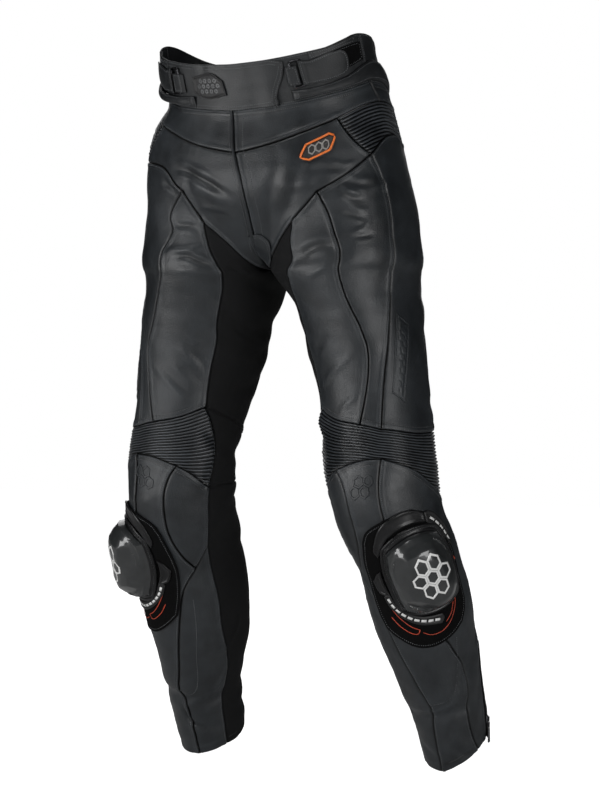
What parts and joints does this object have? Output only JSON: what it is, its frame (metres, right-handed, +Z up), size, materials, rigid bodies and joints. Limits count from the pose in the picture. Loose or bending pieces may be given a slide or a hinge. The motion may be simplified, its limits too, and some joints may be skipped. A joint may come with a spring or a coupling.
{
  "type": "motorcycle trousers",
  "caption": "Leather motorcycle trousers with accordion knees and hips, stretch inner legs, knee sliders and ankle zips, filled out as worn.",
  "frame": {"origin": "middle of the waist, level with the waist seam at the fly", "axes": "+Z up, front faces -Y, +X is the wearer's left"},
  "size_m": [0.5288, 0.3189, 1.0123],
  "materials": {
    "leather_charcoal": "satin",
    "leather_accordion": "satin",
    "stretch_black": "matt woven stretch cloth",
    "loop_black": "matt hook-and-loop pile",
    "rubber_black": "moulded, matt",
    "plastic_base": "satin",
    "plastic_puck": "polished",
    "emblem_orange": "moulded, satin",
    "zip_black": "zip tape with metal teeth",
    "steel_dark": "satin"
  },
  "bodies": {
    "trousers": {"adjuster_ring_left": "steel_dark", "adjuster_ring_right": "steel_dark", "adjuster_strap_left": "leather_charcoal", "adjuster_strap_right": "leather_charcoal", "ankle_zip_left": "zip_black", "ankle_zip_right": "zip_black", "calf_inner_left": "stretch_black", "calf_inner_right": "stretch_black", "calf_outer_left": "leather_charcoal", "calf_outer_right": "leather_charcoal", "crotch_patch": "leather_charcoal", "fly_facing": "zip_black", "front_panel_left": "leather_charcoal", "front_panel_right": "leather_charcoal", "hip_accordion_left": "leather_accordion", "hip_accordion_right": "leather_accordion", "hip_emblem": "emblem_orange", "inner_stretch_left": "stretch_black", "inner_stretch_right": "stretch_black", "knee_accordion_left": "leather_accordion", "knee_accordion_right": "leather_accordion", "knee_back_left": "stretch_black", "knee_back_right": "stretch_black", "knee_inner_left": "leather_charcoal", "knee_inner_right": "leather_charcoal", "ring_tab_left": "leather_charcoal", "ring_tab_right": "leather_charcoal", "seat_left": "leather_charcoal", "seat_right": "leather_charcoal", "shin_front_left": "leather_charcoal", "shin_front_right": "leather_charcoal", "shin_inner_left": "leather_charcoal", "shin_inner_right": "leather_charcoal", "slider_base_left": "plastic_base", "slider_base_right": "plastic_base", "slider_puck_left": "plastic_puck", "slider_puck_right": "plastic_puck", "slider_velcro_left": "loop_black", "slider_velcro_right": "loop_black", "thigh_back_left": "leather_charcoal", "thigh_back_right": "leather_charcoal", "thigh_front_left": "leather_charcoal", "thigh_front_right": "leather_charcoal", "thigh_inner_front_left": "leather_charcoal", "thigh_inner_front_right": "leather_charcoal", "thigh_side_left": "leather_charcoal", "thigh_side_right": "leather_charcoal", "velcro_loop_left": "loop_black", "velcro_loop_right": "loop_black", "waist_badge": "rubber_black", "waist_roll": "leather_charcoal", "waistband_back": "leather_charcoal", "waistband_front_left": "leather_charcoal", "waistband_front_right": "leather_charcoal", "yoke_back": "leather_charcoal", "yoke_front_left": "leather_charcoal", "yoke_front_right": "leather_charcoal"},
    "pull_left": {"zip_pull_left": "steel_dark"},
    "pull_right": {"zip_pull_right": "steel_dark"}
  },
  "joints": [
    {"name": "zip_pull_left_swing", "type": "hinge", "parent": "trousers", "child": "pull_left", "pos_m": [0.25044, 0.14511, -0.83611], "axis": [0.1519, -0.9884, 0], "range_deg": [0, 110]},
    {"name": "zip_pull_right_swing", "type": "hinge", "parent": "trousers", "child": "pull_right", "pos_m": [-0.25012, 0.15, -0.84983], "axis": [0.1536, 0.9881, 0], "range_deg": [0, 110]}
  ]
}
